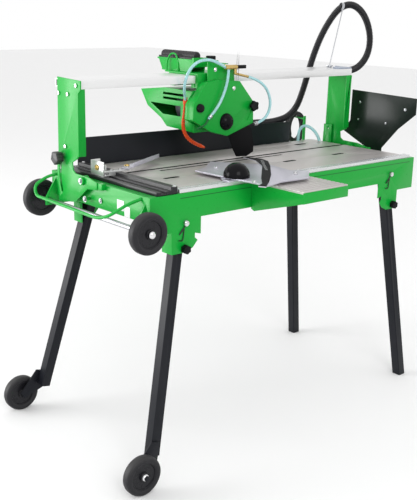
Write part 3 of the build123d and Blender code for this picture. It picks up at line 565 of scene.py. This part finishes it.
# Axles, hinge pins and bolts: zinc-plated steel. The heads are set by one tree that
# stands a hexagonal head or a low dome at each place and turns it to face outwards.
zinc = handled("zinc plate", (0.42, 0.43, 0.45), (0.66, 0.67, 0.7), 0.24, scale=80, dust=0.1, metal=0.9,
               relief=0.1)
chrome = handled("chrome", (0.7, 0.7, 0.71), (0.82, 0.82, 0.83), 0.1, spread=0.08, scale=40, dust=0.04,
                 metal=1.0, relief=0.05)
dressed("upper_axle", "upper_axle_bar", 0.8, "bench", "steel", zinc)
dressed("leg_pins", "leg_hinge_pins", 0.8, "bench", "steel", zinc)
heads_tree, asked = build_tree("bolt heads", (("Radius", "Float"), ("Height", "Float"), ("Sides", "Int"),
        ("Washer", "Float")))
outward = joined(heads_tree, "GeometryNodeInputNamedAttribute", {"data_type": "FLOAT_VECTOR"},
                 ("Name", "outward"))
turn_out = joined(heads_tree, "FunctionNodeAlignRotationToVector", {"axis": "Z"},
                  ("Vector", outward.outputs[0]))
head_block = joined(heads_tree, "GeometryNodeMeshCone", {}, ("Vertices", asked["Sides"]),
                    ("Radius Top", asked["Radius"]),
                    ("Radius Bottom", asked["Radius"]), ("Depth", asked["Height"]))
washer_radius = maths(heads_tree, "MULTIPLY", (0, asked["Radius"]), (1, asked["Washer"]))
washer = joined(heads_tree, "GeometryNodeMeshCylinder", {}, ("Vertices", 24),
                ("Radius", washer_radius.outputs[0]), ("Depth", 0.0012))
crown_radius = maths(heads_tree, "MULTIPLY", (0, asked["Radius"]), (1, 0.86))
crown = joined(heads_tree, "GeometryNodeMeshUVSphere", {}, ("Segments", 16), ("Rings", 8),
               ("Radius", crown_radius.outputs[0]))
crown_lift = joined(heads_tree, "ShaderNodeCombineXYZ", {}, ("Z", asked["Height"]))
low_crown = joined(heads_tree, "GeometryNodeTransform", {}, ("Geometry", crown.outputs[0]),
                   ("Translation", crown_lift.outputs[0]), ("Scale", (1, 1, 0.32)))
whole_head = joined(heads_tree, "GeometryNodeJoinGeometry", {}, (0, head_block.outputs[0]))
heads_tree.links.new(washer.outputs[0], whole_head.inputs[0])
heads_tree.links.new(low_crown.outputs[0], whole_head.inputs[0])
set_heads = joined(heads_tree, "GeometryNodeInstanceOnPoints", {}, ("Points", asked["Geometry"]),
                   ("Instance", whole_head.outputs[0]), ("Rotation", turn_out.outputs[0]))
close_tree(heads_tree, set_heads.outputs[0], zinc)


def fastened(name, spots, body, radius, height, sides=6, washer=1.4, finish=None, slot="steel"):
    """Bolt or rivet heads at bench points, each with the direction that it faces."""
    base = bpy.data.meshes.new(name)
    base.from_pydata([bench(*spot) for spot, _ in spots], [], [])
    aims = base.attributes.new("outward", "FLOAT_VECTOR", "POINT")
    for i, (_, aim) in enumerate(spots):
        aims.data[i].vector = aim
    piece = grown(heads_tree, name, base, {"Radius": radius / 1000, "Height": height / 1000, "Sides": sides,
            "Washer": washer})
    return mount(piece, body, slot, finish=finish)


fastened("side_rail_bolts", [((99, 12, 22), (0, 0, 1)), ((99, 500, 22), (0, 0, 1)),
                             ((57, 496, 12.2), (0, 0, 1))], "bench", 5, 3, finish=chrome, slot="chrome")
fastened("hinge_caps", [((133, -8.2, -92), (0, -1, 0)), ((133, 548.2, -92), (0, 1, 0)),
                        ((1112, -8.2, -50), (0, -1, 0)),
                        ((1112, 548.2, -50), (0, 1, 0))], "bench", 7, 2.5, 12, 1.2, chrome, "chrome")
fastened("ear_bolts", [((-18.5, 313, -56), (-1, 0, 0)), ((-26.5, 325, 0), (-1, 0, 0)),
                       ((1276.5, 325, 0), (1, 0, 0))], "bench", 7, 4)
fastened("pivot_bolts_front", [((-2.4, 400, -30), (-1, 0, 0)), ((-2.4, 250, -52), (-1, 0, 0))], "bench", 6, 3)

# Leg brackets' safety catches: bent black spring wire under each hinge.
wire_black = handled("black wire", (0.01, 0.01, 0.011), (0.03, 0.03, 0.03), 0.35, dust=0.05)
for side_name, x, z in (("left", 133, -92), ("right", 1112, -50)):
    for face_name, y in (("front", -2.6), ("rear", 542.6)):
        hook = [(x - 2, y, z - 8), (x - 20, y, z - 26), (x - 26, y, z - 34), (x - 12, y, z - 22),
                (x - 5, y, z - 14), (x - 8, y, z - 30), (x - 10, y, z - 48), (x - 14, y, z - 54),
                (x - 26, y, z - 50)]
        mount(run_of(f"catch_wire_{face_name}_{side_name}", hook, 3.2), "bench", "black_paint",
              finish=wire_black)

# Folding legs: square steel tube, painted satin black. The left pair ends in a plate arm
# with the stub axle of a wheel, the right pair stands on the floor.
leg_black = handled("leg black", (0.005, 0.006, 0.009), (0.014, 0.015, 0.02), 0.36, scale=25, mottle=0.7,
                    dust=0.08, relief=0.1, gloss=0.15)
# Eased edges of the legs painted a lighter grey in chipped patches: partly worn paint, partly painted
# highlight.
worn_and_highlit_edges(leg_black, (0.09, 0.09, 0.1), 0.6)
for corner in ("front_left", "rear_left", "front_right", "rear_right"):
    mount(eased(f"leg_{corner}", f"leg_{corner}_tube", 0.5), f"leg_{corner}", "black_paint", f"leg_{corner}",
          finish=leg_black)

# Wheels: moulded black hub with a raised boss, a solid rubber tyre with rounded
# shoulders, and a chrome push-on cap over the axle's end.
tyre_rubber = handled("tyre rubber", (0.01, 0.01, 0.012), (0.028, 0.028, 0.032), 0.5, scale=90, dust=0.35,
                      relief=0.3, dull=(0.16, 0.155, 0.15))
hub_plastic = handled("hub plastic", (0.008, 0.008, 0.01), (0.02, 0.02, 0.024), 0.28, scale=70, dust=0.2,
                      relief=0.12, dull=(0.14, 0.14, 0.14))
tyre_outline = [(44.6, -14), (50, -16.4), (57, -15.2), (60.6, -12.6), (62.3, -8), (62.5, 0), (62.3, 8),
                (60.6, 12.6), (57, 15.2), (50, 16.4), (44.6, 14), (44.6, 6), (44.6, -6)]
hub_outline = [(8.1, -16.5), (14, -16.5), (15, -15.5), (15.6, -9.5), (31, -8.5), (39, -9), (41, -13),
               (44.4, -13.4), (44.4, 13.4), (41, 13), (39, 9), (31, 8.5), (15.6, 9.5), (15, 15.5),
               (14, 16.5), (8.1, 16.5)]
cap_outline = [(0, 7.5), (5, 7), (9, 5), (11.5, 1.8), (12, 0), (12, -1.6), (0, -1.6)]
for name, x, y, z in (("upper_front", -28, -29, -94), ("upper_rear", -28, 569, -94),
                      ("lower_front", -98, -94, -812.5), ("lower_rear", -98, 634, -812.5)):
    body = f"wheel_{name}"
    mount(turned(f"tyre_{name}_ring", tyre_outline, (x, y, z), (0, 1, 0), closed=True, steps=64), body,
          "tyre", f"tyre_{name}", finish=tyre_rubber)
    mount(turned(f"hub_{name}_disc", hub_outline, (x, y, z), (0, 1, 0), closed=True, steps=48), body,
          "black_plastic", f"hub_{name}", finish=hub_plastic)
    away = -1 if "front" in name else 1
    reach = {"upper": 20.5, "lower": 17.6}[name[:5]]
    holder = "bench" if "upper" in name else f"leg_{name[6:]}_left"
    mount(turned(f"axle_cap_{name}", cap_outline, (x, y + away * reach, z), (0, away, 0), steps=32), holder,
          "chrome", finish=chrome)

# Lobed hand knobs that lock the legs: moulded black plastic on a steel stem.
knob_plastic = handled("knob plastic", (0.004, 0.004, 0.005), (0.01, 0.01, 0.012), 0.3, dust=0.05,
                       relief=0.12, gloss=0.12, dull=(0.14, 0.14, 0.14))
for corner in ("front_left", "front_right", "rear_left", "rear_right"):
    mount(eased(f"leg_knob_{corner}", f"leg_knob_{corner}_grip", 2.2, steps=3), f"leg_knob_{corner}",
          "black_plastic", f"leg_knob_{corner}", finish=knob_plastic)

# Bridge: folded green uprights, the hollow aluminium beam, the grey half-round cap that
# holds the conduit, and the springy rod that carries the conduit's loop.
dressed("uprights", "bridge_uprights", 0.5, "bridge", "green_paint", coat)
beam_silver = handled("anodised silver", (0.7, 0.7, 0.7), (0.84, 0.84, 0.84), 0.34, spread=0.1, scale=22,
                      stretch=(0.15, 8, 8), dust=0.05, metal=0.35, relief=0.08, dull=(0.6, 0.6, 0.6))
dressed("beam", "bridge_beam", 0.8, "bridge", "aluminium", beam_silver)
cap_grey = handled("grey enamel", (0.26, 0.3, 0.38), (0.36, 0.4, 0.48), 0.3, dust=0.1)
dressed("beam_cap", "beam_end_cap", 0.8, "bridge", "motor_grey", cap_grey)
dressed("bridge_bolts", "bridge_bolt_heads", 0.7, "bridge", "chrome", chrome)
dressed("whip_rod", "whip_rod_steel", 0.4, "bridge", "steel", zinc)
mount(turned("conduit_tie", [(14.2, -5), (16, -5), (16, 5), (14.2, 5)], (1290, 438, 543), (-0.92, 0.33, 0.2),
             closed=True), "bridge", "steel", finish=zinc)

# Carriage: green saddle round the beam, with the bracket of the hand grip and a bent
# hook for hanging cable on top.
dressed("saddle", "carriage_saddle", 0.5, "carriage", "green_paint", coat)
grip_rubber = handled("grip rubber", (0.012, 0.012, 0.014), (0.03, 0.028, 0.03), 0.45, dust=0.3, relief=0.3,
                      dull=(0.15, 0.14, 0.14))
dressed("grip", "hand_grip", 0.8, "carriage", "rubber", grip_rubber)
ribs_tree, asked = build_tree("grip ribs", (("Radius", "Float"), ("Width", "Float"), ("Sides", "Int")))
rib_turn = joined(ribs_tree, "FunctionNodeAlignRotationToVector", {"axis": "Z"}, ("Vector", (0, 1, 0)))
rib_disc = joined(ribs_tree, "GeometryNodeMeshCylinder", {}, ("Vertices", asked["Sides"]),
                  ("Radius", asked["Radius"]), ("Depth", asked["Width"]))
rib_set = joined(ribs_tree, "GeometryNodeInstanceOnPoints", {}, ("Points", asked["Geometry"]),
                 ("Instance", rib_disc.outputs[0]), ("Rotation", rib_turn.outputs[0]))
close_tree(ribs_tree, rib_set.outputs[0], grip_rubber)
rib_places = bpy.data.meshes.new("rib places")
rib_places.from_pydata([bench(509, 412 + 9 * i, 366) for i in range(20)], [], [])
mount(grown(ribs_tree, "hand_grip_ribs", rib_places, {"Radius": 0.0156, "Width": 0.003, "Sides": 28}),
      "carriage", "rubber")

# Disc guard: green sheet folded round the upper half of the disc's place, in two halves,
# with a black dome over the spindle, a small knob, and a star knob at the end of its slot.
dressed("guard_front", "disc_guard_front", 0.6, "head", "green_paint", coat)
dressed("guard_rear", "disc_guard_rear", 0.6, "head", "green_paint", coat)
dome_plastic = handled("dome plastic", (0.003, 0.003, 0.004), (0.008, 0.008, 0.009), 0.16, spread=0.05,
                       dust=0.02, relief=0.05, gloss=0.1)
mount(turned("spindle_dome", [(0, 22), (9, 21), (19, 16.4), (26, 9), (29.5, 2), (30, 0), (30, -1), (0, -1)],
             (558, 299.6, 148), (0, -1, 0)), "head", "black_plastic", finish=dome_plastic)
mount(turned("guard_stud_knob", [(0, 11), (11, 11), (14, 9), (15, 4), (15, 0), (0, 0)], (436, 300, 202),
             (0, -1, 0)), "head", "black_plastic", finish=knob_plastic)


def lobed(name, centre, axis, radius, height, lobes, finish):
    """Star knob with rounded lobes, dished a little on its face."""
    mesh = bmesh.new()
    stand = Vector(axis).to_track_quat("Z", "Y").to_matrix().to_4x4()
    stand.translation = bench(*centre)
    steps = lobes * 10
    rings = []
    for scale, lift in ((0.0, 0), (0.55, 0), (0.55, 0.25), (0.92, 0.3), (1.0, 0.45), (1.0, 0.85), (0.9, 1.0),
                        (0.5, 0.94), (0.0, 0.92)):
        spots = range(steps) if scale else range(1)
        ring = []
        for i in spots:
            turn = math.tau * i / steps
            swell = 1 - (0.14 + 0.12 * math.cos(turn * lobes)) * (scale > 0.8)
            out = radius * scale * swell / 1000
            ring.append(mesh.verts.new(stand @ Vector((out * math.cos(turn), out * math.sin(turn),
                    lift * height / 1000))))
        rings.append(ring)
    for low, high in zip(rings, rings[1:]):
        for i in range(steps):
            corners = [low[i % len(low)], low[(i + 1) % len(low)], high[(i + 1) % len(high)],
                       high[i % len(high)]]
            corners = [c for n, c in enumerate(corners) if c not in corners[:n]]
            mesh.faces.new(corners)
    bmesh.ops.recalc_face_normals(mesh, faces=mesh.faces)
    piece = object_from(mesh, name, 42)
    piece.data.materials.append(finish)
    return piece


mount(lobed("guard_star_knob", (680, 299.8, 197), (0, -1, 0), 20, 18, 5, knob_plastic), "head",
      "black_plastic")
fastened("guard_bolts", [((513, 311.6, 327), (0, -1, 0)), ((590, 299.5, 262), (0, -1, 0))], "head", 5, 3,
         finish=chrome, slot="chrome")

# Jet pipe of the left hose, bent from thin tube and painted green, and the clamp of the
# right hose at the guard's corner.
pipe_green = handled("pipe green", (0.002, 0.09, 0.02), (0.004, 0.14, 0.03), 0.3)
mount(run_of("jet_pipe", [(470, 294, 168), (464, 293, 152), (448, 293, 142), (434, 295, 138),
                          (428, 301, 132)], 6), "head",
      "green_paint", finish=pipe_green)
mount(turned("hose_clamp_left", [(5.2, 0), (7, 0), (7, 8), (5.2, 8)], (475, 292, 170), (0.66, -0.25, 0.71),
             closed=True, steps=24), "head",
      "steel", finish=zinc)
mount(turned("hose_clamp_right", [(5.2, 0), (7.5, 0), (7.5, 9), (5.2, 9)], (694, 294, 132.5),
             (0.97, -0.03, 0.2), closed=True, steps=6),
      "head", "steel", finish=zinc)
mount(turned("hose_socket_right", [(0, 0), (6, 0), (6, 7), (0, 7)], (687, 294, 131), (1, 0, 0.2), steps=6),
      "head", "steel", finish=zinc)

# Motor and its housing: louvred green sheet round a grey motor, bolted behind the guard.
dressed("motor_housing", "motor_cover", 0.6, "head", "green_paint", coat)
motor_enamel = handled("motor enamel", (0.05, 0.052, 0.06), (0.09, 0.092, 0.1), 0.4, dust=0.25)
dressed("motor", "motor_case", 1, "head", "motor_grey", motor_enamel)

# Spindle: the flanges and the nut that grip a disc; none is fitted.
dressed("blade_hub", "disc_flanges", 0.8, "spindle", "steel", zinc)

# Water valve: brass body with a black wing lever at its right end.
brass = handled("brass", (0.55, 0.38, 0.12), (0.72, 0.55, 0.25), 0.25, metal=0.9, dust=0.1, scale=50)
dressed("water_valve", "water_valve_body", 0.5, "head", "brass", brass)
dressed("valve_lever", "valve_lever_handle", 1.2, "valve_lever", "black_plastic", knob_plastic)

# Splash flap: heavy black rubber sheet hung behind the disc's place. Its foot stays over the
# table as the head comes down.
flap_rubber = handled("flap rubber", (0.003, 0.003, 0.004), (0.008, 0.008, 0.009), 0.5, dust=0.05, relief=0.2,
                      gloss=0.1)
flap = eased("splash_flap", "splash_flap_rubber", 0.8)
flap.data.materials.append(flap_rubber)
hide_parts("splash_flap")
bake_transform(flap)

# Knobs of the depth stop and the tilt clamp.
dressed("depth_knob", "depth_knob_grip", 2.4, "depth_knob", "black_plastic", knob_plastic, steps=3)
tilt_plastic = handled("tilt knob plastic", (0.02, 0.02, 0.022), (0.05, 0.05, 0.055), 0.3, dust=0.3)
dressed("tilt_knob", "tilt_knob_grip", 3, "tilt_knob", "black_plastic", tilt_plastic, steps=3)

# Extension table: green bracket hooked over the front edge, topped with a grooved plate.
dressed("extension_frame", "extension_bracket", 0.6, "extension", "green_paint", coat)
dressed("extension_top", "extension_plate", 0.3, "extension", "aluminium", mill_aluminium)

# Angle guide: sliding base, swinging fence with a black dial, and the domed clamp knob.
guide_grey = handled("guide grey", (0.5, 0.49, 0.56), (0.62, 0.61, 0.68), 0.32, scale=40, metal=0.45,
                     dust=0.08, dull=(0.6, 0.6, 0.62))
dressed("guide_base", "guide_slider", 0.5, "guide", "aluminium", guide_grey)
dressed("guide_fence", "guide_fence_plate", 0.5, "fence", "aluminium", guide_grey)
dome_outline = [(6.2, 22), (42, 22), (42.4, 27), (41, 36), (36.5, 47), (28, 57), (16, 64.5), (0, 67.5),
                (0, 31), (6.2, 31)]
mount(turned("guide_knob_dome", dome_outline, (352, 16.5, 0), (0, 0, 1), steps=56), "guide_knob",
      "black_plastic", "guide_knob", finish=dome_plastic)
dial_black = handled("dial black", (0.004, 0.004, 0.005), (0.008, 0.008, 0.009), 0.55, dust=0.02, gloss=0.05)
dial_edge = [(610, 262), (636, 196), (622, 150), (565, 82), (455, -33), (368, -112), (312, -157)]
dial_edge += [(300, -135), (333, -118), (395, -50), (545, 100), (600, 190)]
mount(slab("guide_dial", [(x, y, 24.4) for x, y in dial_edge], (0, 0, 1), 1, dial_black, 0), "fence",
      "black_plastic")
ticks_tree, asked = build_tree("dial ticks", (("Length", "Float"), ("Width", "Float")))
pointing = joined(ticks_tree, "GeometryNodeInputNamedAttribute", {"data_type": "FLOAT_VECTOR"},
                  ("Name", "outward"))
tick_turn = joined(ticks_tree, "FunctionNodeAlignRotationToVector", {"axis": "X"},
                   ("Vector", pointing.outputs[0]))
tick_size = joined(ticks_tree, "ShaderNodeCombineXYZ", {}, ("X", asked["Length"]), ("Y", asked["Width"]),
                   ("Z", 0.0004))
tick = joined(ticks_tree, "GeometryNodeMeshCube", {}, ("Size", tick_size.outputs[0]))
tick_set = joined(ticks_tree, "GeometryNodeInstanceOnPoints", {}, ("Points", asked["Geometry"]),
                  ("Instance", tick.outputs[0]), ("Rotation", tick_turn.outputs[0]))
close_tree(ticks_tree, tick_set.outputs[0], plate_enamel)
tick_base = bpy.data.meshes.new("tick places")
tick_base.from_pydata([bench(500 + 8.5 * i, 34 + 10.4 * i, 25.5) for i in range(14)], [], [])
tick_aims = tick_base.attributes.new("outward", "FLOAT_VECTOR", "POINT")
for i in range(14):
    tick_aims.data[i].vector = (0.74, -0.67, 0)
mount(grown(ticks_tree, "guide_dial_ticks", tick_base, {"Length": 0.009, "Width": 0.0014}), "fence", "steel")
fastened("fence_screws", [((549, -49, 21.8), (0, 0, 1)), ((532, -66, 21.8), (0, 0, 1)),
                          ((338, -78, 21.8), (0, 0, 1)), ((400, 170, 21.8), (0, 0, 1))],
         "fence", 6, 4, 14, 1.2, chrome, "chrome")

# Side stop: bright steel bracket on the side rail with brass thumb nuts, and its arm.
stop_steel = handled("stop steel", (0.62, 0.63, 0.62), (0.76, 0.77, 0.76), 0.3, metal=0.6, dust=0.08,
                     scale=50)
dressed("stop_bracket", "side_stop_bracket", 0.5, "side_stop", "steel", stop_steel)
dressed("stop_arm", "side_stop_arm", 0.5, "stop_arm", "aluminium", guide_grey)
nut_outline = [(0, 6), (3, 6), (3.4, 4), (8.6, 4), (9, 3), (9, 0.6), (8.4, 0), (0, 0)]
mount(turned("stop_thumb_nut", nut_outline, (36, 323, 38), (-1, 0, 0), steps=24), "side_stop", "brass",
      finish=brass)
mount(turned("stop_top_nut", nut_outline, (134, 300, 36), (0, 0, 1), steps=24), "side_stop", "brass",
      finish=brass)
fastened("stop_screws", [((50, 300, 16), (0, 0, 1)), ((74, 300, 27), (0, 0, 1)), ((108, 300, 27), (0, 0, 1))],
         "side_stop", 5, 3, 14, 1.3, chrome, "chrome")

# Splash guard: black sheet at the right end, riveted to its bracket.
guard_black = handled("splash guard black", (0.005, 0.009, 0.007), (0.01, 0.018, 0.014), 0.3, scale=16,
                      mottle=0.8, dust=0.04)
dressed("splash_guard", "splash_guard_sheet", 0.5, "bench", "black_paint", guard_black)
fastened("splash_guard_rivets", [((1299.6, y, z), (-1, 0, 0)) for y,
                                 z in ((318, 175), (95, 166), (322, 105), (183, 104))], "bench", 4, 1.4, 12,
         1.3)

# Studio: plain pale floor, soft even light, a broad lamp behind the left end that gives
# the paint its sheen, and a key lamp in front.
floor_mesh = bmesh.new()
floor_mesh.faces.new([floor_mesh.verts.new(c) for c in ((-14, -10, 0), (16, -10, 0), (16, 22, 0),
        (-14, 22, 0))])
floor = object_from(floor_mesh, "floor", 40)
floor_paint = handled("floor paint", (0.86, 0.86, 0.86), (0.9, 0.9, 0.9), 0.7, mottle=0.3, scale=3, dust=0,
                      relief=0.02, gloss=0.2)
floor.data.materials.append(floor_paint)
sky = bpy.data.worlds.new("studio")
sky.use_nodes = True
sky.node_tree.nodes["Background"].inputs["Color"].default_value = (1, 1, 1, 1)
sky.node_tree.nodes["Background"].inputs["Strength"].default_value = 1.0
bpy.context.scene.world = sky
for name, where, size, power in (("key lamp", (-2.6, -5.2, 4.2), 3.0, 120),
                                 ("sheen lamp", (-4.2, 3.2, 1.2), 3.2, 240)):
    lamp = bpy.data.lights.new(name, "AREA")
    lamp.shape = "SQUARE"
    lamp.size = size
    lamp.energy = power
    holder = bpy.data.objects.new(name, lamp)
    holder.location = where
    holder.rotation_euler = (Vector((0, 0, 0.9)) - Vector(where)).to_track_quat("-Z", "Y").to_euler()
    bpy.context.collection.objects.link(holder)
bpy.context.scene.view_settings.view_transform = "Standard"
